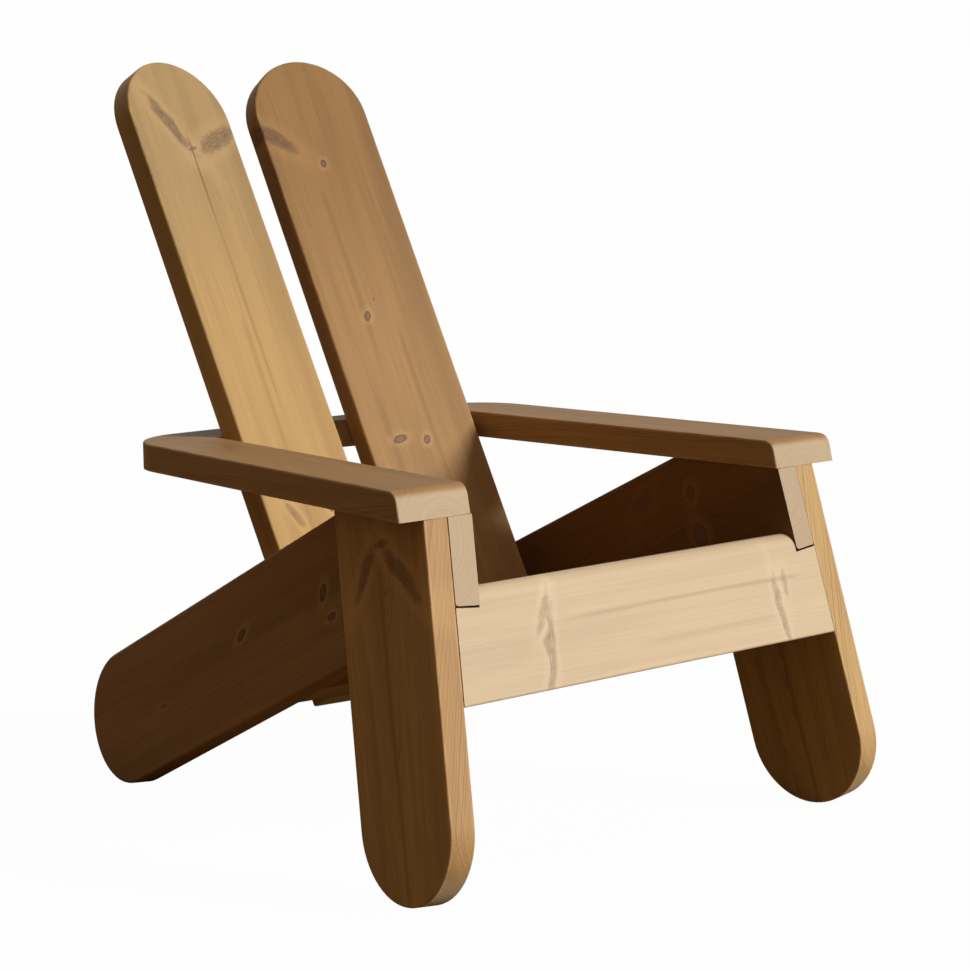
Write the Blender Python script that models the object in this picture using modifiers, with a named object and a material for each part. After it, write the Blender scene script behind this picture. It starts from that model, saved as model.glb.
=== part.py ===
"""Wooden lounge armchair of thick pine boards, modelled as its separate boards, dowels and screws.

Metres, +Z up, the chair faces -Y. The origin is on the floor, at the middle of the bounding box.
Each side of the chair is a leaning, toed-in frame: a front leg outside a side board.
"""

from math import atan2, cos, pi, radians, sin, tan

import bmesh
import bpy
from mathutils import Matrix, Vector

# Stock
BOARD_WIDTH = 0.195
BOARD_THICK = 0.038
SEAT_THICK = 0.032
EASED_EDGE = 0.004
RAIL_EDGE = 0.003
LEG_EDGE = 0.0025
FIT_GAP = 0.0003
SAW_WASTE = 0.020
ARC_STEPS = 32

# Side frames: x is out of the frame, y along it and z up it, from a point on the floor
SIDE_X = 0.3323
SIDE_Y = -0.0803
LEAN = radians(4.6)
TOE = radians(4.5)

# Front legs and side boards, in the side frame
LEG_TILT = radians(13.6)
LEG_FOOT_Y = -0.321
SIDE_SLOPE = radians(25.9)
SIDE_FOOT_Y = 0.4503
LEG_DROP = 0.00028
SIDE_DROP = 0.00042

# Armrests and rear rail, in plan
ARM_TOP = 0.5267
ARM_TOE = radians(4.9)
ARM_WIDTH = 0.118
ARM_INNER_FRONT = 0.2799
ARM_FRONT_Y = -0.4089
ARM_NOSE = 0.018
RAIL_BACK_Y = 0.2832
REAR_CORNER = BOARD_WIDTH / 2
RAIL_REACH = 0.1235
MITRE_INNER = (0.2275, 0.2011)
MITRE_ANGLE = radians(50.0)

# Back boards: a point on the front face at the height of the armrests, and how they turn
BACK_X = 0.1194
BACK_Y = 0.1736
RECLINE = radians(28.6)
TWIST = radians(7.5)
FAN = radians(0.44)
BACK_BELOW = 0.400
BACK_ABOVE = 0.511

# Front apron, on the plane of the legs' front faces
APRON_Y = -0.4629
APRON_Z = 0.2585
APRON_TILT = radians(13.24)
APRON_HEIGHT = 0.147
APRON_NOSE = 0.020

# Seat planks and lower back rail
SEAT_FRONT_Y = -0.3883
SEAT_FRONT_TOP = 0.391
SEAT_SLOPE = radians(18.8)
SEAT_PLANK = 0.1345
SEAT_SPACE = 0.006
SEAT_PLANKS = ("seat_plank_front", "seat_plank_middle", "seat_plank_rear")
SEAT_END_GAP = 0.001
RAIL_FRONT_Y = -0.0871
RAIL_DEPTH = 0.130

# Fasteners
DOWEL_RADIUS = 0.006
DOWEL_LENGTH = 0.060
DOWEL_SIDES = 12
SIDE_DOWEL_IN = 0.025
ARM_DOWEL_IN = 0.0935
SCREW_SHANK = 0.003
SCREW_HEAD = 0.006
SCREW_HEAD_DEEP = 0.005
SCREW_SUNK = 0.001
RAIL_SCREW_LENGTH = 0.092
FOOT_SCREW_LENGTH = 0.070

SIDES = (("left", -1), ("right", 1))
FAR = 1.0


def clear_scene():
    for old in list(bpy.data.objects):
        bpy.data.objects.remove(old)


def new_collection(name):
    group = bpy.data.collections.new(name)
    bpy.context.scene.collection.children.link(group)
    return group


def finish_of(name, colour, roughness, metallic):
    material = bpy.data.materials.new(name)
    material.use_nodes = True
    shader = material.node_tree.nodes["Principled BSDF"]
    shader.inputs["Base Color"].default_value = (*colour, 1.0)
    shader.inputs["Roughness"].default_value = roughness
    shader.inputs["Metallic"].default_value = metallic
    return material


def into(group, thing):
    """Move an object out of the collection it was made in and into this one."""
    for old in list(thing.users_collection):
        old.objects.unlink(thing)
    group.objects.link(thing)


def dress(thing, finish):
    """Give a piece a material of its own, named for it."""
    thing.data.materials.clear()
    thing.data.materials.append(finish_of(f"{thing.name}_finish", *FINISHES[finish]))


def prism(name, outline, thick, group):
    """A flat outline in local XY, its thickness centred on local Z, as a mesh."""
    curve = bpy.data.curves.new(name, "CURVE")
    curve.dimensions = "2D"
    curve.fill_mode = "BOTH"
    curve.extrude = thick / 2
    spline = curve.splines.new("POLY")
    spline.points.add(len(outline) - 1)
    for point, (x, y) in zip(spline.points, outline):
        point.co = (x, y, 0, 1)
    spline.use_cyclic_u = True
    drawn = bpy.data.objects.new(name + "_outline", curve)
    bpy.context.scene.collection.objects.link(drawn)
    graph = bpy.context.evaluated_depsgraph_get()
    mesh = bpy.data.meshes.new_from_object(drawn.evaluated_get(graph))
    bpy.data.objects.remove(drawn)
    shape = bmesh.new()
    shape.from_mesh(mesh)
    bmesh.ops.remove_doubles(shape, verts=shape.verts, dist=0.00001)
    bmesh.ops.dissolve_limit(shape, angle_limit=radians(0.5), verts=shape.verts, edges=shape.edges)
    bmesh.ops.recalc_face_normals(shape, faces=shape.faces)
    shape.to_mesh(mesh)
    shape.free()
    mesh.name = name
    solid = bpy.data.objects.new(name, mesh)
    group.objects.link(solid)
    return solid


def block(name, low, high, group):
    """A box between two opposite corners, in its object's own axes."""
    bpy.ops.mesh.primitive_cube_add(size=1)
    solid = bpy.context.object
    solid.name = name
    solid.data.name = name
    size = [b - a for a, b in zip(low, high)]
    middle = [(a + b) / 2 for a, b in zip(low, high)]
    solid.data.transform(Matrix.Translation(middle) @ Matrix.Diagonal((*size, 1)))
    into(group, solid)
    return solid


def as_cutter(solid):
    solid.hide_render = True
    solid.display_type = "WIRE"
    return solid


def cut(board, cutter, operation="DIFFERENCE"):
    step = board.modifiers.new(cutter.name, "BOOLEAN")
    step.operation = operation
    step.object = cutter
    step.solver = "EXACT"


def ease(board, width=EASED_EDGE):
    """Rounded-over edges, three facets each."""
    bevel = board.modifiers.new("eased_edges", "BEVEL")
    bevel.width = width
    bevel.segments = 3
    bevel.limit_method = "ANGLE"
    bevel.angle_limit = radians(45)


def place(thing, location, rotation, mode="XYZ", parent=None):
    thing.location = location
    thing.rotation_mode = mode
    thing.rotation_euler = rotation
    if parent is not None:
        thing.parent = parent


def side_point(side, out, y, z):
    """World point at this y and z on the plane parallel to a side frame, this far out of it."""
    facing = Vector((cos(TOE) * cos(LEAN), sin(TOE) * cos(LEAN), sin(LEAN)))
    x = SIDE_X + (out - facing.y * (y - SIDE_Y) - facing.z * z) / facing.x
    return Vector((side * x, y, z))


def in_side_frame(side, out, y, z):
    """World point from a side frame's own coordinates."""
    frame = Matrix.Rotation(TOE, 3, "Z") @ Matrix.Rotation(-LEAN, 3, "Y")
    point = frame @ Vector((out, y, z)) + Vector((SIDE_X, SIDE_Y, 0))
    return Vector((side * point.x, point.y, point.z))


def side_turn(side):
    return (0, -side * LEAN, side * TOE)


def arc(centre, radius, start, end, steps=ARC_STEPS):
    turn = (end - start) / steps
    return [
        (centre[0] + radius * cos(start + turn * i), centre[1] + radius * sin(start + turn * i))
        for i in range(steps + 1)
    ]


def round_ended(centre, heading, length):
    """A board outline with its round end about centre, running the other way along heading."""
    radius = BOARD_WIDTH / 2
    along = Vector((cos(heading), sin(heading)))
    across = Vector((-along.y, along.x))
    end = Vector(centre) + along * length
    tip = arc(centre, radius, heading + pi / 2, heading + 3 * pi / 2)
    return tip + [tuple(end - across * radius), tuple(end + across * radius)]


def legs(group):
    """Front legs: the foot's round end stands on the floor, the top is cut under the armrest."""
    made = {}
    for word, side in SIDES:
        outline = round_ended((LEG_FOOT_Y, BOARD_WIDTH / 2), pi / 2 - LEG_TILT, 0.5)
        leg = prism(f"front_leg_{word}", outline, BOARD_THICK, group)
        place(leg, (side * BOARD_THICK / 2, 0, -LEG_DROP), (pi / 2, 0, pi / 2), parent=FRAMES[word])
        ease(leg, LEG_EDGE)
        cut(leg, CUTTERS["under_arms"])
        made[word] = leg
    return made


def leg_front():
    """In a side frame's y and z, where the leg's front edge leaves the round of its foot."""
    radius = BOARD_WIDTH / 2
    return Vector((LEG_FOOT_Y - radius * cos(LEG_TILT), radius + radius * sin(LEG_TILT)))


def side_boards(group):
    """Side boards: the rear end is a round foot, the front end is sawn flush with the leg's front edge."""
    radius = BOARD_WIDTH / 2
    foot = Vector((SIDE_FOOT_Y, radius + SIDE_LIFT))
    along = Vector((-cos(SIDE_SLOPE), sin(SIDE_SLOPE)))
    across = Vector((sin(SIDE_SLOPE), cos(SIDE_SLOPE)))
    leg_axis = Vector((sin(LEG_TILT), cos(LEG_TILT)))
    before = leg_front() + SAW_WASTE * Vector((-cos(LEG_TILT), sin(LEG_TILT)))

    def crossing(a, a_way, b, b_way):
        lever = (b - a).x * b_way.y - (b - a).y * b_way.x
        return a + a_way * lever / (a_way.x * b_way.y - a_way.y * b_way.x)

    lower = crossing(foot - across * radius, along, before, leg_axis)
    high = ARM_TOP
    upper = before + leg_axis * (high - before.y) / leg_axis.y
    shoulder = foot + across * radius
    crest = shoulder + along * (high - shoulder.y) / along.y
    heading = atan2(across.y, across.x)
    tip = arc(tuple(foot), radius, heading, heading - pi)
    outline = tip + [tuple(lower), tuple(upper), tuple(crest)]
    made = {}
    for word, side in SIDES:
        board = prism(f"side_board_{word}", outline, BOARD_THICK - 2 * FIT_GAP, group)
        place(board, (-side * BOARD_THICK / 2, 0, 0), (pi / 2, 0, pi / 2), parent=FRAMES[word])
        ease(board)
        cut(board, CUTTERS[f"side_front_{word}"])
        cut(board, CUTTERS["under_arms"])
        made[word] = board
    return made


def arm_plan(side, inner):
    """Plan outline of an armrest, or of the rail's end: outer edge and rounded rear corner."""
    lean = tan(ARM_TOE)
    width = ARM_WIDTH

    def inner_x(y):
        return ARM_INNER_FRONT - lean * (y - ARM_FRONT_Y)

    back = RAIL_BACK_Y
    corner = Vector((inner_x(back) + width, back))
    outward = Vector((cos(ARM_TOE), sin(ARM_TOE)))
    reach = REAR_CORNER / tan((pi / 2 + ARM_TOE) / 2)
    centre = Vector((corner.x - reach, back - REAR_CORNER))
    start = atan2(outward.y, outward.x)
    bend = arc(tuple(centre), REAR_CORNER, start, pi / 2, 10)
    front = ARM_FRONT_Y - 0.05
    if inner:
        points = [(inner_x(front), front), (inner_x(front) + width, front), *bend, (inner_x(back), back)]
    else:
        start = back - RAIL_REACH
        points = [(0.0, start), (inner_x(start) + width, start), *bend, (0.0, back)]
    return [(side * x, y) for x, y in points]


def arms(group, cutters):
    """Armrests: the plan outline cut from a plank whose front edge follows the legs and is rounded."""
    low = ARM_TOP - BOARD_THICK - SAW_WASTE
    rise = APRON_TILT
    nose = (ARM_FRONT_Y + BOARD_THICK * tan(rise), ARM_TOP)
    reach = ARM_NOSE * tan((pi / 2 - rise) / 2)
    centre = (nose[0] + reach, ARM_TOP - ARM_NOSE)
    profile = [(RAIL_BACK_Y + 0.05, low), (RAIL_BACK_Y + 0.05, ARM_TOP)]
    profile += arc(centre, ARM_NOSE, pi / 2, pi - rise, 8)
    profile += [(ARM_FRONT_Y - SAW_WASTE * tan(rise), low)]
    made = {}
    for word, side in SIDES:
        arm = prism(f"armrest_{word}", profile, 0.4, group)
        place(arm, (side * 0.3, 0, 0), (pi / 2, 0, pi / 2))
        plan = as_cutter(prism(f"arm_plan_{word}", arm_plan(side, True), 0.2, cutters))
        place(plan, (0, 0, ARM_TOP), (0, 0, 0))
        cut(arm, plan, "INTERSECT")
        ease(arm, RAIL_EDGE)
        cut(arm, CUTTERS[f"mitre_arm_{word}"])
        cut(arm, CUTTERS["below_arms"])
        made[word] = arm
    return made


def rear_rail(group):
    """Rear rail: mitred between the armrests, its front edge cut to the back boards' rear faces."""
    right = arm_plan(1, False)
    left = [(-x, y) for x, y in reversed(right)]
    outline = right[1:-1] + left[1:-1]
    rail = prism("rear_rail", outline, BOARD_THICK, group)
    place(rail, (0, 0, ARM_TOP - BOARD_THICK / 2), (0, 0, 0))
    ease(rail, RAIL_EDGE)
    for word, _ in SIDES:
        cut(rail, CUTTERS[f"mitre_rail_{word}"])
        cut(rail, CUTTERS[f"behind_back_{word}"])
    return rail


def back_boards(group):
    """Back boards: round tops, square feet, reclined and each turned about its own length."""
    made = {}
    for word, side in SIDES:
        outline = round_ended((0, BACK_ABOVE), -pi / 2, BACK_ABOVE + BACK_BELOW)
        board = prism(f"back_board_{word}", outline, BOARD_THICK, group)
        place(board, (0, BOARD_THICK / 2, 0), (pi / 2, 0, 0), parent=BACKS[word])
        ease(board)
        made[word] = board
    return made


def apron(group):
    """Front apron: between the legs, notched under the side boards, its top front edge rounded."""
    nose = APRON_NOSE
    top = APRON_HEIGHT
    profile = [(0, 0), (BOARD_THICK, 0), (BOARD_THICK, top)]
    profile += arc((nose, top - nose), nose, pi / 2, pi, 8)
    board = prism("front_apron", profile, 0.8, group)
    place(board, (0, APRON_Y, APRON_Z), (Matrix.Rotation(-APRON_TILT, 3, "X") @ ACROSS).to_euler())
    ease(board, RAIL_EDGE)
    for word, _ in SIDES:
        cut(board, CUTTERS[f"leg_plane_{word}"])
        cut(board, CUTTERS[f"side_envelope_{word}"])
    return board


def seat_planks(group):
    """Seat planks: three across, sloping down to the back, their ends cut along the side boards."""
    made = []
    slope = Matrix.Rotation(-SEAT_SLOPE, 3, "X")
    front = Vector((0, SEAT_FRONT_Y, SEAT_FRONT_TOP))
    for i, name in enumerate(SEAT_PLANKS):
        start = i * (SEAT_PLANK + SEAT_SPACE)
        plank = block(name, (-0.35, start, -SEAT_THICK), (0.35, start + SEAT_PLANK, 0), group)
        place(plank, front, slope.to_euler())
        ease(plank, RAIL_EDGE)
        for word, _ in SIDES:
            cut(plank, CUTTERS[f"seat_end_{word}"])
        made.append(plank)
    return made


def lower_rail(group):
    """Lower back rail: flat between the side boards, its rear edge cut to the back boards' fronts."""
    rail = block("lower_back_rail", (-0.33, 0, 0), (0.33, RAIL_DEPTH, BOARD_THICK), group)
    place(rail, (0, RAIL_FRONT_Y, side_bottom(RAIL_FRONT_Y)), (-SIDE_SLOPE, 0, 0))
    ease(rail, RAIL_EDGE)
    for word, _ in SIDES:
        cut(rail, CUTTERS[f"rail_end_{word}"])
        cut(rail, CUTTERS[f"front_back_{word}"])
    return rail


def side_bottom(y):
    """Height of the side boards' inner lower edge at this y."""
    foot_z = BOARD_WIDTH / 2 + SIDE_LIFT
    edge_y = SIDE_FOOT_Y - BOARD_WIDTH / 2 * sin(SIDE_SLOPE)
    edge_z = foot_z - BOARD_WIDTH / 2 * cos(SIDE_SLOPE)
    in_frame = edge_z + (edge_y - (y - SIDE_Y)) * tan(SIDE_SLOPE)
    return in_frame * cos(LEAN) - BOARD_THICK * sin(LEAN)


def dowel(name, at, turn, boards, group, cutters, mode="XYZ", parent=None):
    """A beech dowel along local Z and the hole for it in each board that it joins."""
    for role, extra in (("solid", 0.0), ("hole", FIT_GAP)):
        bpy.ops.mesh.primitive_cylinder_add(
            vertices=DOWEL_SIDES, radius=DOWEL_RADIUS + extra, depth=DOWEL_LENGTH + 2 * extra
        )
        piece = bpy.context.object
        piece.name = name if role == "solid" else f"{name}_hole"
        piece.data.name = piece.name
        place(piece, at, turn, mode, parent)
        if role == "solid":
            into(group, piece)
            smooth(piece)
            dress(piece, "beech")
        else:
            into(cutters, as_cutter(piece))
            for board in boards:
                cut(board, piece)


def smooth(piece):
    piece.data.shade_smooth()
    piece.data.set_sharp_from_angle(angle=radians(40))


def turned(name, profile, group):
    """A profile at +X, listed top to bottom, carried round local Z."""
    mesh = bpy.data.meshes.new(name)
    mesh.from_pydata([(r, 0, z) for r, z in profile], [(i, i + 1) for i in range(len(profile) - 1)], [])
    piece = bpy.data.objects.new(name, mesh)
    group.objects.link(piece)
    spin = piece.modifiers.new("turned", "SCREW")
    spin.steps = DOWEL_SIDES
    spin.render_steps = DOWEL_SIDES
    spin.use_merge_vertices = True
    spin.merge_threshold = 0.00001
    spin.use_smooth_shade = True
    return piece


def screw(name, head, turn, length, boards, group, cutters):
    """A countersunk screw whose head, sunk a little, is at this point, with local Z out of the head."""
    r = SCREW_SHANK
    big = SCREW_HEAD
    deep = SCREW_HEAD_DEEP
    top = -SCREW_SUNK
    tip = top - length
    solid = [(0, top), (big, top), (r, top - deep), (r, tip + 2 * r), (0, tip)]
    g = FIT_GAP
    hole = [(0, 0.02), (big + g, 0.02), (big + g, top - g), (r + g, top - deep - g)]
    hole += [(r + g, tip + 2 * r), (0, tip - 2 * g)]
    piece = turned(name, solid, group)
    place(piece, head, turn)
    dress(piece, "steel")
    void = as_cutter(turned(f"{name}_hole", hole, cutters))
    place(void, head, turn)
    for board in boards:
        cut(board, void)


def make_cutters(cutters):
    """Half-space boxes for the cuts that several boards share."""
    made = {}

    def keep(name, low, high, location, rotation, mode="XYZ"):
        box = as_cutter(block(f"cut_{name}", low, high, cutters))
        place(box, location, rotation, mode)
        made[name] = box

    under = ARM_TOP - BOARD_THICK - FIT_GAP
    keep("under_arms", (-FAR, -FAR, 0), (FAR, FAR, FAR), (0, 0, under), (0, 0, 0))
    keep("below_arms", (-FAR, -FAR, -FAR), (FAR, FAR, 0), (0, 0, ARM_TOP - BOARD_THICK), (0, 0, 0))
    for word, side in SIDES:
        turn = side_turn(side)
        base = (side * SIDE_X, SIDE_Y, 0)

        def outside(name, out, depth=FAR):
            near, far = sorted((side * out, side * (out + depth)))
            keep(name, (near, -FAR, -FAR), (far, FAR, FAR), base, turn)

        front = as_cutter(block(f"cut_side_front_{word}", (-0.1, -0.3, -0.6), (0.1, 0, 0.6), cutters))
        place(front, (0, *leg_front()), (-LEG_TILT, 0, 0), parent=FRAMES[word])
        made[f"side_front_{word}"] = front
        outside(f"leg_plane_{word}", -FIT_GAP)
        outside(f"seat_end_{word}", -BOARD_THICK - SEAT_END_GAP)
        outside(f"rail_end_{word}", -BOARD_THICK - FIT_GAP)
        wide = sorted((-side * (BOARD_THICK + FIT_GAP), side * 0.2))
        low = side_bottom(0) - FIT_GAP
        keep(f"side_envelope_{word}", (wide[0], -FAR, 0), (wide[1], FAR, FAR), base, turn)
        envelope = made[f"side_envelope_{word}"]
        tilt = Matrix.Rotation(TOE * side, 3, "Z") @ Matrix.Rotation(-LEAN * side, 3, "Y")
        tilt = tilt @ Matrix.Rotation(-SIDE_SLOPE, 3, "X")
        envelope.rotation_euler = tilt.to_euler()
        envelope.location = side_point(side, 0, 0, low)
        mitre = (side * MITRE_INNER[0], MITRE_INNER[1], ARM_TOP)
        angle = MITRE_ANGLE if side > 0 else pi - MITRE_ANGLE
        half = FIT_GAP / 2
        rail_side = sorted((side * -half, side * FAR))
        arm_side = sorted((side * half, -side * FAR))
        keep(f"mitre_arm_{word}", (-0.2, rail_side[0], -0.2), (0.4, rail_side[1], 0.2), mitre, (0, 0, angle))
        keep(f"mitre_rail_{word}", (-0.2, arm_side[0], -0.2), (0.4, arm_side[1], 0.2), mitre, (0, 0, angle))
        rear = BOARD_THICK + FIT_GAP
        middle = (BACK_X + rear * sin(TWIST)) / cos(TWIST) + FIT_GAP
        near, far = sorted((side * 0.3, -side * middle))
        boxes = {
            f"behind_back_{word}": ((near, -0.3, -0.5), (far, rear, 0.5)),
            f"front_back_{word}": ((-0.4, -FIT_GAP, -0.6), (0.4, 0.3, 0.5)),
        }
        for name, (low_corner, high_corner) in boxes.items():
            box = as_cutter(block(f"cut_{name}", low_corner, high_corner, cutters))
            box.parent = BACKS[word]
            made[name] = box
    return made


def hollow(name, location, rotation, mode="XYZ"):
    empty = bpy.data.objects.new(name, None)
    bpy.context.scene.collection.objects.link(empty)
    place(empty, location, rotation, mode)
    return empty


def join_sides(group, cutters, leg, board, arm, planks, rail, front):
    """Dowels across each side frame: leg to side board, and each cross piece to the frame."""
    upright = Vector((sin(LEG_TILT), cos(LEG_TILT)))
    forward = Vector((-cos(LEG_TILT), sin(LEG_TILT)))
    middle = Vector((-0.243, 0.42))
    places = (middle + forward * 0.05, middle - forward * 0.05, middle - upright * 0.045)
    for word, side in SIDES:
        turn = (Matrix.Rotation(side * TOE, 3, "Z") @ Matrix.Rotation(-side * LEAN, 3, "Y"))
        across = (turn @ Matrix.Rotation(side * pi / 2, 3, "Y")).to_euler()
        half = DOWEL_LENGTH / 2
        for i, spot in enumerate(places):
            at = in_side_frame(side, 0, spot.x, spot.y)
            dowel(f"leg_dowel_{word}_{i + 1}", at, across, (leg[word], board[word]), group, cutters)
        for i, plank in enumerate(planks):
            start = i * (SEAT_PLANK + SEAT_SPACE)
            for j, share in enumerate((0.22, 0.78)):
                run = start + SEAT_PLANK * share
                y = SEAT_FRONT_Y + run * cos(SEAT_SLOPE) - SEAT_THICK / 2 * sin(SEAT_SLOPE)
                z = SEAT_FRONT_TOP - run * sin(SEAT_SLOPE) - SEAT_THICK / 2 * cos(SEAT_SLOPE)
                at = side_point(side, -BOARD_THICK + SIDE_DOWEL_IN - half, y, z)
                name = f"seat_dowel_{word}_{2 * i + j + 1}"
                dowel(name, at, across, (plank, board[word]), group, cutters)
        for i, run in enumerate((0.014, 0.040)):
            y = RAIL_FRONT_Y + run * cos(SIDE_SLOPE) + BOARD_THICK / 2 * sin(SIDE_SLOPE)
            z = side_bottom(RAIL_FRONT_Y) - run * sin(SIDE_SLOPE) + BOARD_THICK / 2 * cos(SIDE_SLOPE)
            at = side_point(side, -BOARD_THICK + SIDE_DOWEL_IN - half, y, z)
            dowel(f"lower_rail_dowel_{word}_{i + 1}", at, across, (rail, board[word]), group, cutters)
        for i, run in enumerate((0.030, 0.090)):
            y = APRON_Y + run * sin(APRON_TILT) + BOARD_THICK / 2 * cos(APRON_TILT)
            z = APRON_Z + run * cos(APRON_TILT) - BOARD_THICK / 2 * sin(APRON_TILT)
            at = side_point(side, SIDE_DOWEL_IN - half, y, z)
            dowel(f"apron_dowel_{word}_{i + 1}", at, across, (front, leg[word]), group, cutters)
        seat = ARM_TOP - BOARD_THICK
        for name, out, under in (("leg", BOARD_THICK / 2, leg), ("side", -BOARD_THICK / 2, board)):
            at = side_point(side, out, ARM_FRONT_Y + ARM_DOWEL_IN, seat)
            at.z = seat + SIDE_DOWEL_IN - half
            dowel(f"arm_{name}_dowel_{word}", at, (0, 0, 0), (arm[word], under[word]), group, cutters)


def join_back(group, cutters, arm, top_rail, board, rail):
    """Mitre dowels, and the screws that hold the back boards to the two rails."""
    for word, side in SIDES:
        run = 0.045
        x = MITRE_INNER[0] + run * cos(MITRE_ANGLE)
        y = MITRE_INNER[1] + run * sin(MITRE_ANGLE)
        at = (side * x, y, ARM_TOP - BOARD_THICK / 2)
        turn = (pi / 2, 0, side * MITRE_ANGLE)
        dowel(f"mitre_dowel_{word}", at, turn, (arm[word], top_rail), group, cutters)
        for i, spread in enumerate((0.065, 0.170)):
            head = (side * spread, RAIL_BACK_Y, ARM_TOP - BOARD_THICK / 2)
            name = f"rear_rail_screw_{word}_{i + 1}"
            boards = (top_rail, board[word])
            screw(name, head, (-pi / 2, 0, 0), RAIL_SCREW_LENGTH, boards, group, cutters)
        for i, spread in enumerate((-0.045, 0.045)):
            low = -BACK_BELOW + 0.030
            back = BACKS[word].matrix_world @ Vector((spread, BOARD_THICK, low))
            turn = BACKS[word].matrix_world.to_3x3() @ Matrix.Rotation(-pi / 2, 3, "X")
            name = f"lower_rail_screw_{word}_{i + 1}"
            boards = (board[word], rail)
            screw(name, back, turn.to_euler(), FOOT_SCREW_LENGTH, boards, group, cutters)


FINISHES = {
    "pine": ((0.42, 0.25, 0.12), 0.55, 0.0),
    "beech": ((0.62, 0.45, 0.28), 0.60, 0.0),
    "steel": ((0.62, 0.61, 0.58), 0.35, 1.0),
}
ACROSS = Matrix(((0, 0, 1), (1, 0, 0), (0, 1, 0)))
SIDE_LIFT = BOARD_THICK * tan(LEAN) - SIDE_DROP

clear_scene()
CHAIR = new_collection("wooden_armchair")
TOOLS = new_collection("cutters")
FRAMES = {}
BACKS = {}
for WORD, SIDE in SIDES:
    FRAMES[WORD] = hollow(f"{WORD}_frame", (SIDE * SIDE_X, SIDE_Y, 0), side_turn(SIDE))
    BACKS[WORD] = hollow(
        f"{WORD}_back", (SIDE * BACK_X, BACK_Y, ARM_TOP), (-RECLINE, SIDE * FAN, -SIDE * TWIST), "ZYX"
    )
bpy.context.view_layer.update()
CUTTERS = make_cutters(TOOLS)
LEGS = legs(CHAIR)
BOARDS = side_boards(CHAIR)
ARMS = arms(CHAIR, TOOLS)
TOP_RAIL = rear_rail(CHAIR)
BACKBOARDS = back_boards(CHAIR)
APRON = apron(CHAIR)
PLANKS = seat_planks(CHAIR)
LOW_RAIL = lower_rail(CHAIR)
for PIECE in list(CHAIR.objects):
    dress(PIECE, "pine")
join_sides(CHAIR, TOOLS, LEGS, BOARDS, ARMS, PLANKS, LOW_RAIL, APRON)
join_back(CHAIR, TOOLS, ARMS, TOP_RAIL, BACKBOARDS, LOW_RAIL)
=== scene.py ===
"""The looks of a wooden lounge armchair: planed pine boards, beech dowels and zinc-plated screws."""

from math import cos, radians, sin

import bmesh
import bpy
import numpy as np
from mathutils import Matrix, Vector


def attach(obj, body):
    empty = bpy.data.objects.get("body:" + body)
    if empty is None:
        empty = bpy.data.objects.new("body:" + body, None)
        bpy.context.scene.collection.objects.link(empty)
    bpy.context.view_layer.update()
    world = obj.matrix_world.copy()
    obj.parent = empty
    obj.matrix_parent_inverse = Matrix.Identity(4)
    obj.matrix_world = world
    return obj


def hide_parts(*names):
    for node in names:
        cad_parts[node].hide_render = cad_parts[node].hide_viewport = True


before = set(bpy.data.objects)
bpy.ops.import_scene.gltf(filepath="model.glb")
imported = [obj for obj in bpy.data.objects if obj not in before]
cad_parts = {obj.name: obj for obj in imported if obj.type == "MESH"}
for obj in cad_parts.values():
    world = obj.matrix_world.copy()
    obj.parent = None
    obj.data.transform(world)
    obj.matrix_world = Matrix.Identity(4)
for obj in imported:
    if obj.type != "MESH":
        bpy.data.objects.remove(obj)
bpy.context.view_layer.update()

# The room. A pale seamless floor, a bright even backdrop, and one soft lamp low in front of the
# chair and to its right. Only a little warm light comes back from the left, so the sides stay dark.
lamp_turn = radians(30)
lamp_height = radians(21)
bounce_colour = (0.20, 0.125, 0.055, 1)
fill_colour = (1.0, 0.66, 0.33, 1)
fill_strength = 0.19
far_direction = (0.64, 0.75, 0.15)
far_strength = 0.8
paper_grey = (0.025, 0.025, 0.025, 1)
paper_glow = 0.975
floor_reach = 30

floor_mesh = bpy.data.meshes.new("floor")
floor_corners = [(floor_reach * x, floor_reach * y, 0) for x, y in ((-1, -1), (1, -1), (1, 1), (-1, 1))]
floor_mesh.from_pydata(floor_corners, [], [(0, 1, 2, 3)])
floor = bpy.data.objects.new("floor", floor_mesh)
bpy.context.scene.collection.objects.link(floor)
paper = bpy.data.materials.new("studio_paper")
paper.use_nodes = True
paper.node_tree.nodes.clear()
seen = paper.node_tree.nodes.new("ShaderNodeLightPath")
matt = paper.node_tree.nodes.new("ShaderNodeBsdfDiffuse")
matt.inputs["Color"].default_value = bounce_colour
pale = paper.node_tree.nodes.new("ShaderNodeBsdfDiffuse")
pale.inputs["Color"].default_value = paper_grey
glow = paper.node_tree.nodes.new("ShaderNodeEmission")
glow.inputs["Color"].default_value = (1, 1, 1, 1)
glow.inputs["Strength"].default_value = paper_glow
both = paper.node_tree.nodes.new("ShaderNodeAddShader")
either = paper.node_tree.nodes.new("ShaderNodeMixShader")
paper_out = paper.node_tree.nodes.new("ShaderNodeOutputMaterial")
paper.node_tree.links.new(pale.outputs[0], both.inputs[0])
paper.node_tree.links.new(glow.outputs[0], both.inputs[1])
paper.node_tree.links.new(seen.outputs["Is Camera Ray"], either.inputs[0])
paper.node_tree.links.new(matt.outputs[0], either.inputs[1])
paper.node_tree.links.new(both.outputs[0], either.inputs[2])
paper.node_tree.links.new(either.outputs[0], paper_out.inputs["Surface"])
floor_mesh.materials.append(paper)

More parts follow.
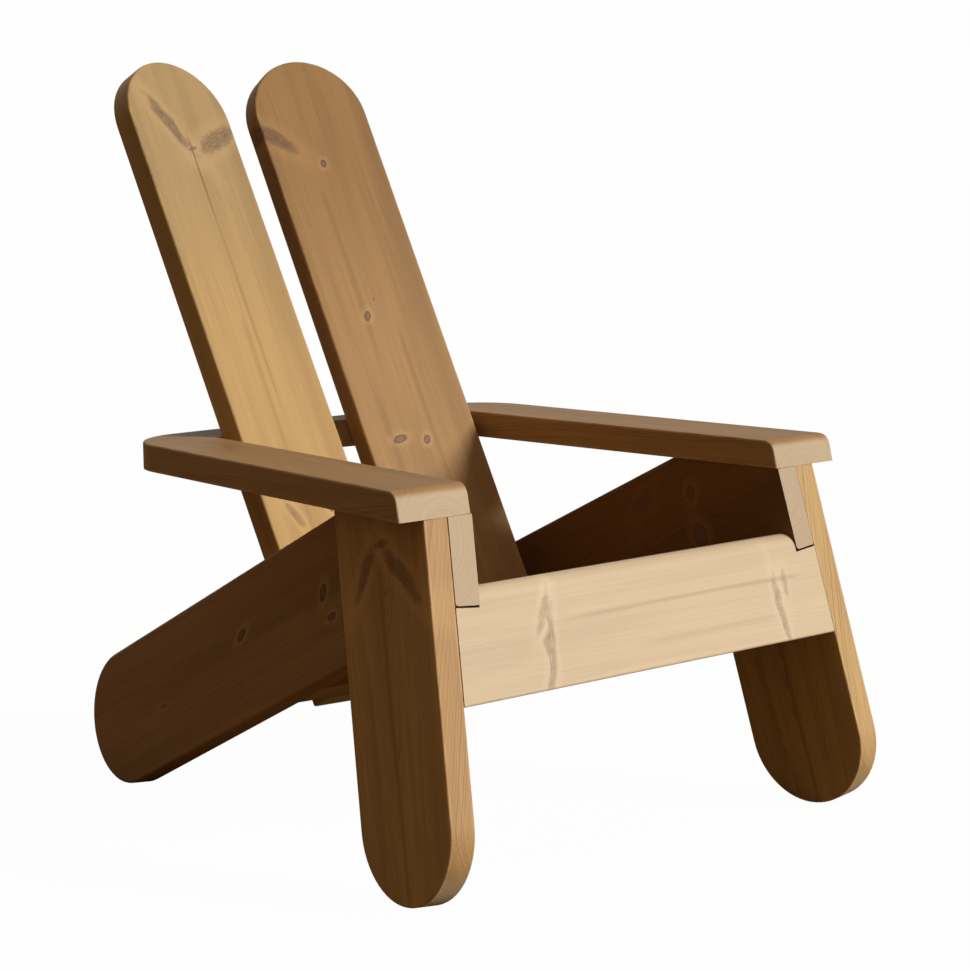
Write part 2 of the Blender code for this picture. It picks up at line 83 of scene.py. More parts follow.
world = bpy.data.worlds.new("studio")
bpy.context.scene.world = world
world.use_nodes = True
world.node_tree.nodes.clear()
rays = world.node_tree.nodes.new("ShaderNodeLightPath")
backdrop = world.node_tree.nodes.new("ShaderNodeBackground")
backdrop.inputs["Color"].default_value = (0.995, 0.995, 0.995, 1)
fill = world.node_tree.nodes.new("ShaderNodeBackground")
fill.inputs["Color"].default_value = fill_colour
fill.inputs["Strength"].default_value = fill_strength
sheen = world.node_tree.nodes.new("ShaderNodeBackground")
sheen.inputs["Color"].default_value = (0.92, 0.96, 1.0, 1)
facing_far = world.node_tree.nodes.new("ShaderNodeVectorMath")
facing_far.operation = "DOT_PRODUCT"
facing_far.inputs[1].default_value = far_direction
sky = world.node_tree.nodes.new("ShaderNodeTexCoord")
world.node_tree.links.new(sky.outputs["Generated"], facing_far.inputs[0])
far_wall = world.node_tree.nodes.new("ShaderNodeMapRange")
far_wall.interpolation_type = "SMOOTHSTEP"
for socket, number in zip(far_wall.inputs[1:5], (0.1, 0.9, 0.02, far_strength)):
    socket.default_value = number
world.node_tree.links.new(facing_far.outputs["Value"], far_wall.inputs["Value"])
world.node_tree.links.new(far_wall.outputs[0], sheen.inputs["Strength"])
lit = world.node_tree.nodes.new("ShaderNodeMixShader")
world.node_tree.links.new(rays.outputs["Is Glossy Ray"], lit.inputs[0])
world.node_tree.links.new(fill.outputs[0], lit.inputs[1])
world.node_tree.links.new(sheen.outputs[0], lit.inputs[2])
choose = world.node_tree.nodes.new("ShaderNodeMixShader")
world_out = world.node_tree.nodes.new("ShaderNodeOutputWorld")
world.node_tree.links.new(rays.outputs["Is Camera Ray"], choose.inputs[0])
world.node_tree.links.new(lit.outputs[0], choose.inputs[1])
world.node_tree.links.new(backdrop.outputs[0], choose.inputs[2])
world.node_tree.links.new(choose.outputs[0], world_out.inputs["Surface"])

level = cos(lamp_height)
toward_lamp = Vector((sin(lamp_turn) * level, -cos(lamp_turn) * level, sin(lamp_height)))
lamp_data = bpy.data.lights.new("soft_lamp", "SUN")
lamp_data.energy = 3.15
lamp_data.angle = radians(14)
lamp_data.color = (1.0, 0.985, 0.96)
lamp = bpy.data.objects.new("soft_lamp", lamp_data)
lamp.rotation_euler = toward_lamp.to_track_quat("Z", "Y").to_euler()
bpy.context.scene.collection.objects.link(lamp)
overhead_data = bpy.data.lights.new("top_softbox", "SUN")
overhead_data.energy = 0.45
overhead_data.angle = radians(60)
overhead = bpy.data.objects.new("top_softbox", overhead_data)
bpy.context.scene.collection.objects.link(overhead)

camera_data = bpy.data.cameras.new("camera")
camera_data.sensor_fit = "HORIZONTAL"
camera_data.sensor_width = 36
camera_data.lens = 101.5
camera_data.shift_x = 0.0178
camera_data.shift_y = -0.0244
camera_data.clip_end = 100
camera = bpy.data.objects.new("camera", camera_data)
camera.location = (-2.4958, -2.9598, 1.0121)
camera.rotation_euler = (radians(82.270), radians(0.725), radians(-41.015))
bpy.context.scene.collection.objects.link(camera)
bpy.context.scene.camera = camera
bpy.context.scene.view_settings.view_transform = "Standard"

# The two back boards. Flat-sawn pine, planed, round at the top, each with its own knots. They lean
# back between the armrests and turn a little to each other; screws hold them to the two rails.


def worked(tree, operation, *values):
    """One Math node: each value is a number or another node's output."""
    step = tree.nodes.new("ShaderNodeMath")
    step.operation = operation
    for socket, value in zip(step.inputs, values):
        if isinstance(value, (int, float)):
            socket.default_value = value
        else:
            tree.links.new(value, socket)
    return step.outputs[0]


def ramped(tree, value, low, high, start=0.0, end=1.0):
    """A smooth step: start below low, end above high, or the other way round where low is over high."""
    step = tree.nodes.new("ShaderNodeMapRange")
    step.interpolation_type = "SMOOTHSTEP"
    if low > high:
        low, high, start, end = high, low, end, start
    tree.links.new(value, step.inputs["Value"])
    for socket, number in zip(step.inputs[1:5], (low, high, start, end)):
        socket.default_value = number
    return step.outputs[0]


def stretched(tree, place, scale, detail=2.0, colour=False):
    """Noise on the board's millimetres, drawn out by a different scale across, through and along it."""
    by = tree.nodes.new("ShaderNodeVectorMath")
    by.operation = "MULTIPLY"
    by.inputs[1].default_value = scale
    tree.links.new(place, by.inputs[0])
    noise = tree.nodes.new("ShaderNodeTexNoise")
    noise.inputs["Scale"].default_value = 1.0
    noise.inputs["Detail"].default_value = detail
    tree.links.new(by.outputs[0], noise.inputs["Vector"])
    return noise.outputs["Color" if colour else "Fac"]


def hypotenuse(tree, a, b):
    """The distance whose two square sides are a and b."""
    squares = worked(tree, "ADD", worked(tree, "MULTIPLY", a, a), worked(tree, "MULTIPLY", b, b))
    return worked(tree, "SQRT", squares)


def shader_group(name, inputs, outputs):
    """An empty node group with named float or vector inputs and float outputs."""
    group = bpy.data.node_groups.new(name, "ShaderNodeTree")
    for label, kind in inputs:
        group.interface.new_socket(label, in_out="INPUT", socket_type=kind)
    for label in outputs:
        group.interface.new_socket(label, in_out="OUTPUT", socket_type="NodeSocketFloat")
    return group, group.nodes.new("NodeGroupInput").outputs, group.nodes.new("NodeGroupOutput").inputs


def grain_group():
    """Growth rings about the pith: distance from it across the board, plus a slow wander along it
    and a cone for the log's taper, cut into rings by the ring width. Each year is its own strength.
    The slow swell makes some years wide and some narrow, and the offset keeps every ring number
    above zero."""
    swell_turn, swell, ring_offset = 0.13, 2.2, 400.0
    number = "NodeSocketFloat"
    asked = [("Board", "NodeSocketVector"), ("Pith Across", number), ("Pith Through", number)]
    asked += [("Taper", number), ("Ring Width", number), ("Wander", number)]
    tree, given, made = shader_group("pine grain", asked, ("Late", "Fibre", "Tone", "Resin"))
    place = given["Board"]
    parts = tree.nodes.new("ShaderNodeSeparateXYZ")
    tree.links.new(place, parts.inputs[0])
    drift = tree.nodes.new("ShaderNodeSeparateXYZ")
    tree.links.new(stretched(tree, place, (0.006, 0.006, 0.0022), 1.5, True), drift.inputs[0])
    reach = []
    for axis, pith in ((0, "Pith Across"), (1, "Pith Through")):
        sway = worked(tree, "SUBTRACT", drift.outputs[axis], 0.5)
        sway = worked(tree, "MULTIPLY", sway, given["Wander"])
        off = worked(tree, "SUBTRACT", parts.outputs[axis], given[pith])
        reach.append(worked(tree, "ADD", off, sway))
    radius = hypotenuse(tree, *reach)
    radius = worked(tree, "ADD", radius, worked(tree, "MULTIPLY", parts.outputs[2], given["Taper"]))
    shiver = stretched(tree, place, (0.07, 0.07, 0.0035), 2.0)
    radius = worked(tree, "ADD", radius, worked(tree, "MULTIPLY", shiver, 1.5))
    slow = worked(tree, "SINE", worked(tree, "MULTIPLY", radius, swell_turn))
    radius = worked(tree, "ADD", radius, worked(tree, "MULTIPLY", slow, swell))
    count = worked(tree, "DIVIDE", worked(tree, "ADD", radius, ring_offset), given["Ring Width"])
    year = worked(tree, "FRACT", count)
    dice = tree.nodes.new("ShaderNodeTexWhiteNoise")
    dice.noise_dimensions = "1D"
    tree.links.new(worked(tree, "FLOOR", count), dice.inputs["W"])
    strength = worked(tree, "MULTIPLY", dice.outputs["Value"], dice.outputs["Value"])
    strength = worked(tree, "MULTIPLY_ADD", strength, 0.85, 0.15)
    late = worked(tree, "MULTIPLY", ramped(tree, year, 0.30, 0.88), ramped(tree, year, 1.0, 0.93))
    tree.links.new(worked(tree, "MULTIPLY", late, strength), made["Late"])
    tree.links.new(stretched(tree, place, (0.9, 0.9, 0.007), 3.0), made["Fibre"])
    tree.links.new(stretched(tree, place, (0.021, 0.021, 0.0013), 2.5), made["Tone"])
    resin = stretched(tree, place, (0.55, 0.55, 0.018), 1.0)
    tree.links.new(ramped(tree, resin, 0.70, 0.78), made["Resin"])
    return tree


def knot_group():
    """A knot as a stretched round, Long and Wide its half lengths: the wood in it, its dark rim and
    dark centre, the pale wood about it, dark streaks along it, and how far it parts the grain. The
    parting reaches a few half widths across the board and more along it."""
    most_bow, ragged, circle_turn = 0.42, 0.7, 15.0
    reach_across, reach_along = 3.6, 9.0
    number = "NodeSocketFloat"
    asked = [("Board", "NodeSocketVector"), ("Across", number), ("Along", number)]
    asked += [("Turn", number), ("Long", number), ("Wide", number)]
    made_here = ("Heart", "Rim", "Centre", "Halo", "Streak", "Part")
    tree, given, made = shader_group("pine knot", asked, made_here)
    place = given["Board"]
    parts = tree.nodes.new("ShaderNodeSeparateXYZ")
    tree.links.new(place, parts.inputs[0])
    slim = worked(tree, "SUBTRACT", given["Long"], given["Wide"])
    bow = worked(tree, "SUBTRACT", stretched(tree, place, (0.021, 0.021, 0.021), 1.0), 0.5)
    bow = worked(tree, "MULTIPLY", bow, worked(tree, "MULTIPLY", slim, most_bow))
    dx = worked(tree, "SUBTRACT", parts.outputs[0], given["Across"])
    dz = worked(tree, "SUBTRACT", parts.outputs[2], given["Along"])
    turn_cos = worked(tree, "COSINE", given["Turn"])
    turn_sin = worked(tree, "SINE", given["Turn"])
    u = worked(tree, "MULTIPLY", dz, turn_sin)
    u = worked(tree, "MULTIPLY_ADD", dx, turn_cos, u)
    v = worked(tree, "MULTIPLY", dz, turn_cos)
    v = worked(tree, "ADD", worked(tree, "SUBTRACT", v, worked(tree, "MULTIPLY", dx, turn_sin)), bow)
    lengthwise = tree.nodes.new("ShaderNodeCombineXYZ")
    tree.links.new(u, lengthwise.inputs[0])
    tree.links.new(v, lengthwise.inputs[1])
    tree.links.new(parts.outputs[1], lengthwise.inputs[2])
    fine = stretched(tree, lengthwise.outputs[0], (0.06, 0.75, 0.05), 4.0)
    u = worked(tree, "DIVIDE", u, given["Long"])
    v = worked(tree, "DIVIDE", v, given["Wide"])
    rough = worked(tree, "SUBTRACT", stretched(tree, place, (0.10, 0.02, 0.10), 3.0), 0.5)
    far = worked(tree, "ADD", hypotenuse(tree, u, v), worked(tree, "MULTIPLY", rough, ragged))
    heart = ramped(tree, far, 1.10, 0.80)
    circles = worked(tree, "SINE", worked(tree, "MULTIPLY", far, circle_turn))
    circles = worked(tree, "MULTIPLY_ADD", circles, 0.08, 0.92)
    tree.links.new(worked(tree, "MULTIPLY", heart, circles), made["Heart"])
    rim = worked(tree, "MULTIPLY", ramped(tree, far, 0.35, 0.90), ramped(tree, far, 1.25, 1.0))
    tree.links.new(rim, made["Rim"])
    tree.links.new(ramped(tree, far, 0.45, 0.10), made["Centre"])
    halo = worked(tree, "MULTIPLY", ramped(tree, far, 1.0, 1.3), ramped(tree, far, 3.0, 1.3))
    tree.links.new(halo, made["Halo"])
    streak = worked(tree, "MULTIPLY", ramped(tree, fine, 0.38, 0.62), ramped(tree, far, 1.35, 0.30))
    tree.links.new(streak, made["Streak"])
    beside = worked(tree, "DIVIDE", dx, worked(tree, "MULTIPLY", given["Wide"], reach_across))
    above = worked(tree, "DIVIDE", dz, worked(tree, "MULTIPLY", given["Wide"], reach_along))
    near = hypotenuse(tree, beside, above)
    tree.links.new(worked(tree, "MULTIPLY", dx, ramped(tree, near, 1.0, 0.0, 0.0, 0.8)), made["Part"])
    return tree


def wear_group():
    """Where hands and weather have rubbed the eased corner: near the outline and near either face.
    The outline is a strip of Half Width that ends in a half round past Round. Thick is negative where
    the board lies on the other side of its origin. The wood is bare up to the second distance from
    the edge, in millimetres, and untouched from the first."""
    number = "NodeSocketFloat"
    untouched, bare = 5.5, 1.5
    asked = [("Board", "NodeSocketVector"), ("Half Width", number), ("Round", number), ("Thick", number)]
    tree, given, made = shader_group("rubbed corner", asked, ("Rubbed",))
    parts = tree.nodes.new("ShaderNodeSeparateXYZ")
    tree.links.new(given["Board"], parts.inputs[0])
    past = worked(tree, "MAXIMUM", worked(tree, "SUBTRACT", parts.outputs[2], given["Round"]), 0.0)
    out = hypotenuse(tree, parts.outputs[0], past)
    side = ramped(tree, worked(tree, "SUBTRACT", given["Half Width"], out), untouched, bare)
    middle = worked(tree, "MULTIPLY", given["Thick"], 0.5)
    deep = worked(tree, "ABSOLUTE", worked(tree, "SUBTRACT", parts.outputs[1], middle))
    below_face = worked(tree, "SUBTRACT", worked(tree, "ABSOLUTE", middle), deep)
    face = ramped(tree, below_face, untouched, bare)
    patchy = ramped(tree, stretched(tree, given["Board"], (0.05, 0.05, 0.02), 3.0), 0.35, 0.65)
    tree.links.new(worked(tree, "MULTIPLY", worked(tree, "MULTIPLY", side, face), patchy), made["Rubbed"])
    return tree


grain_of_pine = grain_group()
knot_in_pine = knot_group()
rubbed_corner = wear_group()


def blended(tree, kind, amount, under, over):
    """One colour Mix node; amount and over are a value or another node's output."""
    mix = tree.nodes.new("ShaderNodeMix")
    mix.data_type = "RGBA"
    mix.blend_type = kind
    for socket, value in ((mix.inputs[0], amount), (mix.inputs[6], under), (mix.inputs[7], over)):
        if isinstance(value, (int, float)):
            socket.default_value = value
        elif isinstance(value, tuple):
            socket.default_value = (*value, 1.0)
        else:
            tree.links.new(value, socket)
    return mix.outputs[2]


def placed(tree, group, board, **values):
    """A copy of a node group on the board's own millimetres, with this board's numbers."""
    step = tree.nodes.new("ShaderNodeGroup")
    step.node_tree = group
    tree.links.new(board, step.inputs["Board"])
    for label, value in values.items():
        socket = step.inputs[label.replace("_", " ").title()]
        if isinstance(value, (int, float)):
            socket.default_value = value
        else:
            tree.links.new(value, socket)
    return step.outputs


pale_end = (0.58, 0.455, 0.305)
late_end = (0.40, 0.27, 0.15)
knot_dark = (0.105, 0.066, 0.056)
knot_brown = (0.20, 0.12, 0.085)
no_round = 9999.0


def pine(name, origin, across, along, early, late, pith, rings=2.6, taper=0.012, wander=26.0,
         contrast=0.6, knots=(), half_width=97.5, round_at=no_round, thick=38.0, lines=(), top=None,
         bands=1.0):
    """Planed pine for one board. Across, through and along are the board's own directions from its
    origin, in millimetres; the rings stand about the pith, so that faces, edges and end grain all
    follow one log. A knot is its place across and along, its turn in degrees, its half length and half
    width, and how dark it is. A line is its place across, its two ends, its half width and its strength.
    Top multiplies the colour at the board's upper end, painted shade that darkens it there; bands scales the
    soft lengthwise tones."""
    material = bpy.data.materials.new(name)
    material.use_nodes = True
    tree = material.node_tree
    shader = tree.nodes["Principled BSDF"]
    along = Vector(along).normalized()
    across = Vector(across).normalized()
    through = along.cross(across)
    turn = Matrix((across, through, along)).transposed()
    coordinates = tree.nodes.new("ShaderNodeTexCoord")
    mapping = tree.nodes.new("ShaderNodeMapping")
    mapping.vector_type = "TEXTURE"
    mapping.inputs["Location"].default_value = origin
    mapping.inputs["Rotation"].default_value = turn.to_euler("XYZ")
    mapping.inputs["Scale"].default_value = (0.001, 0.001, 0.001)
    tree.links.new(coordinates.outputs["Object"], mapping.inputs["Vector"])
    board = mapping.outputs[0]
    found = []
    for x, z, angle, long, wide, dark in knots:
        knot = placed(tree, knot_in_pine, board, across=x, along=z, turn=radians(angle), long=long, wide=wide)
        found.append((knot, dark, long > 2.5 * wide))
    parting = tree.nodes.new("ShaderNodeCombineXYZ")
    apart = 0.0
    for knot, _, spike in found:
        if not spike:
            apart = worked(tree, "ADD", apart, knot["Part"])
            tree.links.new(apart, parting.inputs[0])
    parted = tree.nodes.new("ShaderNodeVectorMath")
    parted.operation = "SUBTRACT"
    tree.links.new(board, parted.inputs[0])
    tree.links.new(parting.outputs[0], parted.inputs[1])
    grain = placed(
        tree, grain_of_pine, parted.outputs[0], pith_across=pith[0], pith_through=pith[1],
        taper=taper, ring_width=rings, wander=wander,
    )
    colour = blended(tree, "MIX", worked(tree, "MULTIPLY", grain["Late"], contrast), early, late)
    deep = tuple(0.62 * c ** 1.08 for c in early)
    colour = blended(tree, "MIX", ramped(tree, grain["Tone"], 0.40, 0.70, 0.0, 0.50 * bands), colour, deep)
    streak = ramped(tree, grain["Fibre"], 0.30, 0.72, 1.0 - 0.12 * bands, 1.0 + 0.07 * bands)
    colour = blended(tree, "MULTIPLY", 1.0, colour, streak)
    colour = blended(tree, "MIX", worked(tree, "MULTIPLY", grain["Resin"], 0.35), colour, late)
    stained = tuple(0.55 * c for c in late)
    lighter = tuple(min(1.0, 1.25 * c + 0.03) for c in early)
    knot_wood = tuple(0.5 * (a + b) for a, b in zip(late, knot_brown))
    for knot, dark, spike in found:
        halo = worked(tree, "MULTIPLY", knot["Halo"], (0.30 if spike else 0.5) * dark)
        colour = blended(tree, "MIX", halo, colour, lighter)
        heart = worked(tree, "MULTIPLY", knot["Heart"], (0.45 if spike else 0.85) * dark)
        colour = blended(tree, "MIX", heart, colour, knot_wood)
        marks = (("Streak", 0.80),) if spike else (("Rim", 0.80), ("Centre", 0.35))
        for mark, amount in marks:
            shown = worked(tree, "MULTIPLY", knot[mark], amount * dark)
            colour = blended(tree, "MIX", shown, colour, knot_dark)
    parts = tree.nodes.new("ShaderNodeSeparateXYZ")
    tree.links.new(board, parts.inputs[0])
    # Painted shade: the colour darkens towards the board's upper end, where less of the lamp's light falls.
    if top is not None:
        high = ramped(tree, parts.outputs[2], 60, 480)
        colour = blended(tree, "MULTIPLY", high, colour, top)
    for x, upper, foot, wide, dark in lines:
        sway = worked(tree, "MULTIPLY", worked(tree, "SUBTRACT", grain["Tone"], 0.5), 20.0)
        off = worked(tree, "ADD", worked(tree, "SUBTRACT", parts.outputs[0], x), sway)
        mark = ramped(tree, worked(tree, "ABSOLUTE", off), wide, 0.0)
        mark = worked(tree, "MULTIPLY", mark, ramped(tree, parts.outputs[2], upper, upper - 40))
        mark = worked(tree, "MULTIPLY", mark, ramped(tree, parts.outputs[2], foot, foot + 90))
        colour = blended(tree, "MIX", worked(tree, "MULTIPLY", mark, dark), colour, stained)
    facing = tree.nodes.new("ShaderNodeVectorMath")
    facing.operation = "DOT_PRODUCT"
    facing.inputs[1].default_value = along
    tree.links.new(coordinates.outputs["Normal"], facing.inputs[0])
    end = ramped(tree, worked(tree, "ABSOLUTE", facing.outputs["Value"]), 0.55, 0.98)
    sawn = blended(tree, "MIX", worked(tree, "MULTIPLY", grain["Late"], 0.55), pale_end, late_end)
    colour = blended(tree, "MIX", worked(tree, "MULTIPLY", end, 0.85), colour, sawn)
    rubbed = placed(tree, rubbed_corner, board, half_width=half_width, round=round_at, thick=thick)["Rubbed"]
    colour = blended(tree, "MIX", worked(tree, "MULTIPLY", rubbed, 0.45), colour, lighter)
    tree.links.new(colour, shader.inputs["Base Color"])
    gloss = worked(tree, "MULTIPLY_ADD", grain["Late"], -0.10, 0.58)
    gloss = worked(tree, "ADD", gloss, worked(tree, "MULTIPLY", grain["Fibre"], 0.10))
    gloss = worked(tree, "SUBTRACT", gloss, worked(tree, "MULTIPLY", rubbed, 0.10))
    tree.links.new(gloss, shader.inputs["Roughness"])
    relief = worked(tree, "MULTIPLY_ADD", grain["Late"], 0.6, worked(tree, "MULTIPLY", grain["Fibre"], 0.5))
    for knot, _, _ in found:
        relief = worked(tree, "SUBTRACT", relief, worked(tree, "MULTIPLY", knot["Rim"], 0.8))
    bump = tree.nodes.new("ShaderNodeBump")
    bump.inputs["Strength"].default_value = 0.35
    bump.inputs["Distance"].default_value = 0.0004
    tree.links.new(relief, bump.inputs["Height"])
    tree.links.new(bump.outputs[0], shader.inputs["Normal"])
    shader.inputs["Specular IOR Level"].default_value = 0.32
    return material


def planed(name, material):
    """The board's solid with its triangles merged into whole faces, and its eased corners shaded round."""
    shape = bmesh.new()
    shape.from_mesh(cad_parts[name].data)
    bmesh.ops.remove_doubles(shape, verts=shape.verts, dist=0.00002)
    bmesh.ops.dissolve_limit(shape, angle_limit=radians(1), verts=shape.verts, edges=shape.edges)
    mesh = bpy.data.meshes.new(f"{name}_planed")
    shape.to_mesh(mesh)
    shape.free()
    mesh.materials.clear()
    mesh.materials.append(material)
    mesh.shade_smooth()
    mesh.set_sharp_from_angle(angle=radians(40))
    piece = bpy.data.objects.new(f"{name}_planed", mesh)
    bpy.context.scene.collection.objects.link(piece)
    flat = piece.modifiers.new("flat_faces", "WEIGHTED_NORMAL")
    flat.mode = "FACE_AREA"
    flat.weight = 100
    flat.keep_sharp = True
    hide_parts(name)
    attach(piece, "root")


arm_level = 0.5267
back_x, back_y = 0.1194, 0.1736
back_lean = radians(-28.6)
back_fan = radians(0.44)
back_twist = radians(-7.5)
back_round = 510.9


def back_axes(side):
    """The directions across and along a back board: leant back, then turned and fanned a little."""
    turn = Matrix.Rotation(back_lean, 3, "X") @ Matrix.Rotation(back_fan * side, 3, "Y")
    turn = turn @ Matrix.Rotation(back_twist * side, 3, "Z")
    return turn @ Vector((1, 0, 0)), turn @ Vector((0, 0, 1))


# Each back board's top colour darkens it towards its upper end as painted shade.
across, along = back_axes(-1)
planed("back_board_left", pine(
    "pine_back_left", (-back_x, back_y, arm_level), across, along,
    (0.52, 0.325, 0.125), (0.36, 0.19, 0.062), pith=(6, -34), rings=3.1, contrast=0.24, wander=12,
    round_at=back_round, bands=0.85, top=(0.80, 0.85, 0.95), knots=(
        (-27, 500, 122, 56, 10, 1.0), (56, 478, 27, 42, 14, 0.9), (3, 462, 20, 9, 3, 0.9),
        (-45, -128, 120, 20, 7, 0.75), (29, -118, 90, 9, 5, 0.7),
    ), lines=((0, 500, 330, 2.6, 0.85), (0, 440, 0, 5.0, 0.35), (-18, 200, -260, 9.0, 0.25)),
))
across, along = back_axes(1)
planed("back_board_right", pine(
    "pine_back_right", (back_x, back_y, arm_level), across, along,
    (0.425, 0.243, 0.092), (0.28, 0.135, 0.043), pith=(30, 62), rings=3.4, contrast=0.26, wander=14,
    round_at=back_round, top=(0.80, 0.76, 0.66), knots=(
        (-80, 481, -40, 40, 12, 1.0), (-9, 430, 80, 6, 4.5, 0.85), (-24, 172, 60, 7.5, 5, 0.85),
        (-4, 197, 90, 3, 1.5, 0.7), (-40, -29, 10, 11, 5.5, 0.8), (5, -37, 60, 7, 5, 0.8),
    ), lines=((-30, 400, 60, 8, 0.25), (20, 160, -300, 7, 0.25), (-52, 60, -300, 6, 0.2)),
))

# The front legs. Pine boards sawn through the heart of the log, so that the wide faces show straight
# dark lines and a spike knot like an arrowhead, and the narrow faces show flames. They are round at
# the foot and dowelled to the outside of the side boards.
lean = radians(4.6)
toe = radians(4.5)
frame_x, frame_y = 0.3323, -0.0803
leg_tilt = radians(13.6)
leg_foot = -0.321
foot_round = 0.0975
board_thick = 0.038


def side_axes(side, heading):
    """The directions through and along a board in a side frame; heading is its slope from upright."""
    frame_turn = Matrix.Rotation(toe * side, 3, "Z") @ Matrix.Rotation(-lean * side, 3, "Y")
    long_way = frame_turn @ Vector((0, sin(heading), cos(heading)))
    cross_way = frame_turn @ Vector((0, -cos(heading), sin(heading)))
    return cross_way, long_way, frame_turn


def in_frame(side, out, y, z, turn):
    """A point in a side frame, from its distance out of the frame, along it and up it."""
    return Vector((side * frame_x, frame_y, 0)) + turn @ Vector((side * out, y, z))


leg_shade = {-1: (0.52, 0.312, 0.128), 1: (0.60, 0.395, 0.165)}
for word, side in (("left", -1), ("right", 1)):
    across, along, turn = side_axes(side, leg_tilt)
    origin = in_frame(side, 0.0 if side > 0 else board_thick, leg_foot, foot_round, turn)
    knots = (
        (-34, 330, 52, 46, 10, 0.9), (42, 316, -46, 52, 11, 0.9), (4, 358, 5, 15, 5, 0.9),
    ) if side < 0 else ((20, 300, 60, 20, 8, 0.7),)
    planed(f"front_leg_{word}", pine(
        f"pine_leg_{word}", origin, across, -along, leg_shade[side], (0.29, 0.145, 0.045),
        pith=(-6 * side, 18), rings=2.3, taper=0.075, wander=34, contrast=0.72,
        knots=[(x, -z, 180 - angle, *rest) for x, z, angle, *rest in knots],
        lines=((-4, 120, -350, 7.0, 0.35), (26, 60, -200, 9.0, 0.2), (-48, 60, -240, 9.0, 0.2)),
        round_at=0.0, thick=-38.0,
    ))

# The side boards: seat rail and rear leg in one board, round at the foot behind, glued and
# dowelled to the inside of the front leg. The right one is of darker wood, and painted shade darkens
# it further for the deep shade on its inner face.
side_slope = radians(-64.1)
rear_foot = 0.4503
# The right board's colours are its darker wood with painted shade worked in, for the deep shade inside it.
side_wood_and_painted_shade = {-1: (0.38, 0.215, 0.09), 1: (0.17, 0.075, 0.02)}
side_late_and_painted_shade = {-1: (0.20, 0.098, 0.036), 1: (0.085, 0.033, 0.008)}
for word, side in (("left", -1), ("right", 1)):
    across, along, turn = side_axes(side, side_slope)
    origin = in_frame(side, 0.0, rear_foot, foot_round, turn)
    knots = (
        (12, 570, 40, 11, 6, 0.95), (-24, 578, 90, 9, 4.5, 0.95), (19, 355, 70, 12, 5, 0.95),
        (-14, 115, 95, 10, 3, 0.9),
    ) if side < 0 else ((43, 705, 30, 10, 7, 0.9), (-19, 691, 10, 16, 11, 0.9), (60, 610, 60, 26, 9, 0.6))
    planed(f"side_board_{word}", pine(
        f"pine_side_{word}", origin, across, -along, side_wood_and_painted_shade[side], side_late_and_painted_shade[side], pith=(10, 44),
        rings=3.6, taper=-0.02, wander=26, contrast=0.6, round_at=0.0,
        knots=[(-x, -z, *rest) for x, z, *rest in knots], thick=38.0 * side,
    ))

# The armrests: level pine boards with a rounded-over front edge, sawn round at the rear corner. They
# lie on the legs and side boards, on dowels, and are mitred into the rear rail.
arm_toe = radians(4.9)
arm_x, arm_front = 0.3389, -0.4089
for word, side in (("left", -1), ("right", 1)):
    along = Vector((-side * sin(arm_toe), cos(arm_toe), 0))
    across = Vector((cos(arm_toe), side * sin(arm_toe), 0))
    origin = Vector((side * arm_x, arm_front, arm_level))
    planed(f"armrest_{word}", pine(
        f"pine_arm_{word}", origin, across, along, (0.40, 0.232, 0.093), (0.23, 0.115, 0.04),
        pith=(-12 * side, 64), rings=2.5, taper=0.03, wander=22, contrast=0.6, half_width=59,
    ))

# The rear rail: one pine board, level with the armrests and mitred between them. Its front edge is
# cut to the two back boards, and the screws go through it into them.
planed("rear_rail", pine(
    "pine_rear_rail", Vector((0, 0.2282, arm_level)), (0, -1, 0), (1, 0, 0), (0.31, 0.19, 0.085),
    (0.19, 0.10, 0.038), pith=(10, 60), rings=3.0, wander=34, contrast=0.6, half_width=55,
    knots=((10, -120, 40, 10, 6, 0.8), (-12, 150, 60, 8, 5, 0.7)),
))

# The front apron: the palest pine board, with a rounded-over top edge and two grey spike knots
# across it. It is dowelled between the legs.
planed("front_apron", pine(
    "pine_apron", Vector((0, -0.4480, 0.3290)), (0, 0.2292, 0.9734), (1, 0, 0), (0.70, 0.55, 0.37),
    (0.56, 0.38, 0.215), pith=(-150, 42), rings=2.9, taper=0.004, wander=22, contrast=0.13,
    half_width=73, thick=-38.0, bands=0.45, knots=(
        (-26, -186, 6, 74, 7, 0.6), (22, -192, 24, 26, 6, 0.45), (-30, 243, -8, 48, 6, 0.6),
        (8, 258, -4, 20, 5, 0.45),
    ), lines=((14, 300, -170, 5.0, 0.30), (-38, 250, -60, 8.0, 0.15), (-30, -230, -330, 4.0, 0.18)),
))

# The seat planks and the lower back rail: plain pine boards with a few small knots, sawn square and
# eased. They stand between the side boards on dowels, the planks sloping down to the back.
seat_slope = radians(18.8)
seat_front = Vector((0, -0.3883, 0.391))
first_middle = 0.06725
plank_pitch = 0.1405
plank_run = Vector((0, cos(seat_slope), -sin(seat_slope)))
plank_knots = {
    "seat_plank_front": ((-24, 118, 30, 11, 7, 0.8), (38, -196, 70, 6, 4, 0.7)),
    "seat_plank_middle": ((18, -62, 10, 9, 6, 0.8), (-40, -88, 50, 7, 4, 0.75), (30, 214, 20, 14, 6, 0.7)),
    "seat_plank_rear": ((-12, 36, 60, 8, 5, 0.8),),
}
for step, (name, plank_marks) in enumerate(plank_knots.items()):
    origin = seat_front + plank_run * (first_middle + plank_pitch * step)
    planed(name, pine(
        f"pine_{name}", origin, plank_run, (1, 0, 0), (0.50, 0.31, 0.14), (0.30, 0.155, 0.06),
        pith=(14 - 20 * step, 70 + 12 * step), rings=2.8, wander=36, contrast=0.6,
        half_width=67, thick=-32.0, knots=plank_marks,
    ))
rail_slope = radians(25.9)
rail_front = Vector((0, -0.0871, 0.2088))
rail_middle = 0.065
rail_run = Vector((0, cos(rail_slope), -sin(rail_slope)))
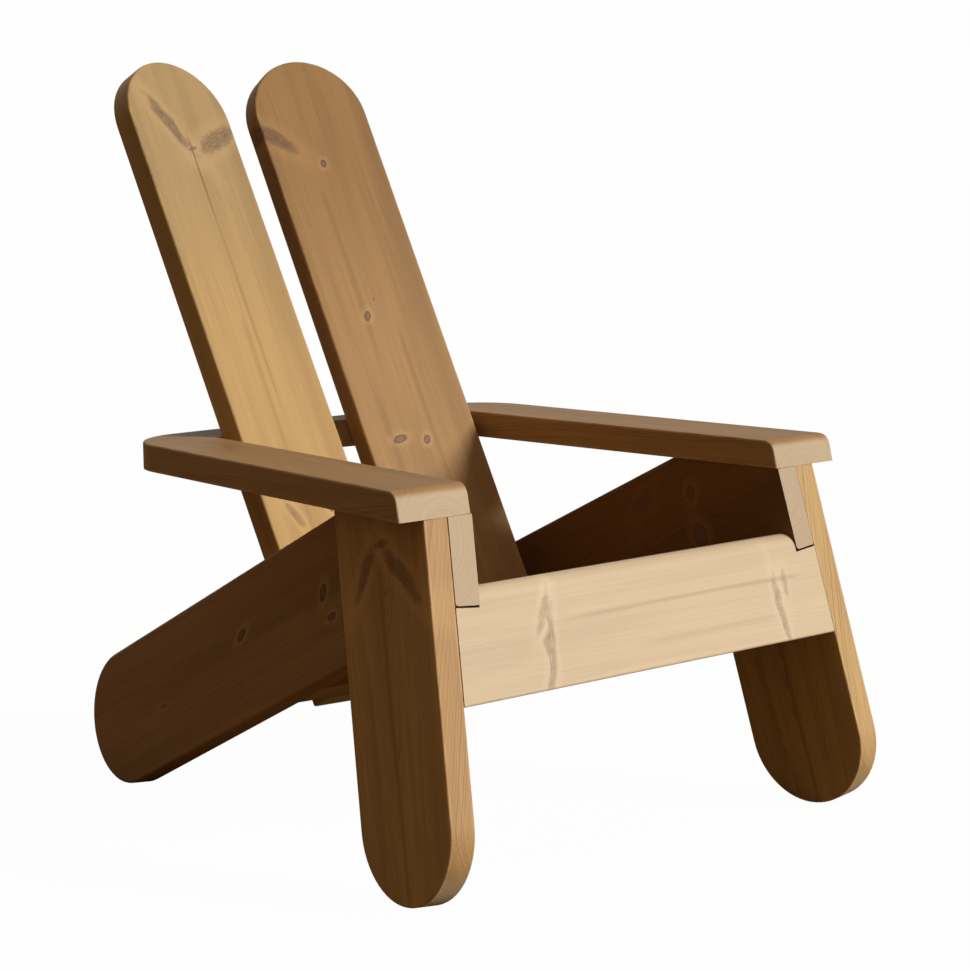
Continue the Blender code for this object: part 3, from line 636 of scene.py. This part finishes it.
planed("lower_back_rail", pine(
    "pine_lower_rail", rail_front + rail_run * rail_middle, rail_run, (1, 0, 0),
    (0.52, 0.33, 0.15), (0.32, 0.17, 0.06), pith=(30, 70), rings=3.0, wander=30, half_width=65,
))

# The dowels: turned beech pins, a little paler than the boards. They are glued into blind holes
# across each joint, so they only show when the chair is taken apart.


def on_millimetres(tree):
    """The piece's Object coordinates in millimetres."""
    coordinates = tree.nodes.new("ShaderNodeTexCoord")
    mapping = tree.nodes.new("ShaderNodeMapping")
    mapping.inputs["Scale"].default_value = (1000, 1000, 1000)
    tree.links.new(coordinates.outputs["Object"], mapping.inputs["Vector"])
    return mapping.outputs[0]


def beech_dowels():
    """Beech: a warm even tone with fine flecks, drawn out across the chair, which most dowels follow."""
    material = bpy.data.materials.new("beech")
    material.use_nodes = True
    tree = material.node_tree
    flecks = stretched(tree, on_millimetres(tree), (0.25, 1.4, 1.4), 3.0)
    colour = blended(tree, "MIX", ramped(tree, flecks, 0.35, 0.7), (0.60, 0.42, 0.25), (0.44, 0.27, 0.14))
    shader = tree.nodes["Principled BSDF"]
    tree.links.new(colour, shader.inputs["Base Color"])
    tree.links.new(ramped(tree, flecks, 0.2, 0.8, 0.5, 0.68), shader.inputs["Roughness"])
    return material


beech = beech_dowels()
for name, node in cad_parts.items():
    if "dowel" in name:
        node.data.materials.clear()
        node.data.materials.append(beech)

# The screws: steel with a zinc plate, turned with a countersunk head. They are driven from behind
# through the rear rail and the back boards' feet, and sunk just below the faces.


def zinc_plate():
    """Zinc plate: a satin grey metal with a few dull, rougher spots."""
    material = bpy.data.materials.new("zinc_plate")
    material.use_nodes = True
    tree = material.node_tree
    spots = stretched(tree, on_millimetres(tree), (0.5, 0.5, 0.5), 3.0)
    colour = blended(tree, "MIX", ramped(tree, spots, 0.4, 0.7), (0.62, 0.60, 0.55), (0.40, 0.38, 0.34))
    shader = tree.nodes["Principled BSDF"]
    tree.links.new(colour, shader.inputs["Base Color"])
    tree.links.new(ramped(tree, spots, 0.3, 0.8, 0.28, 0.5), shader.inputs["Roughness"])
    shader.inputs["Metallic"].default_value = 1.0
    return material


zinc = zinc_plate()
for name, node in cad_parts.items():
    if "screw" in name:
        node.data.materials.clear()
        node.data.materials.append(zinc)
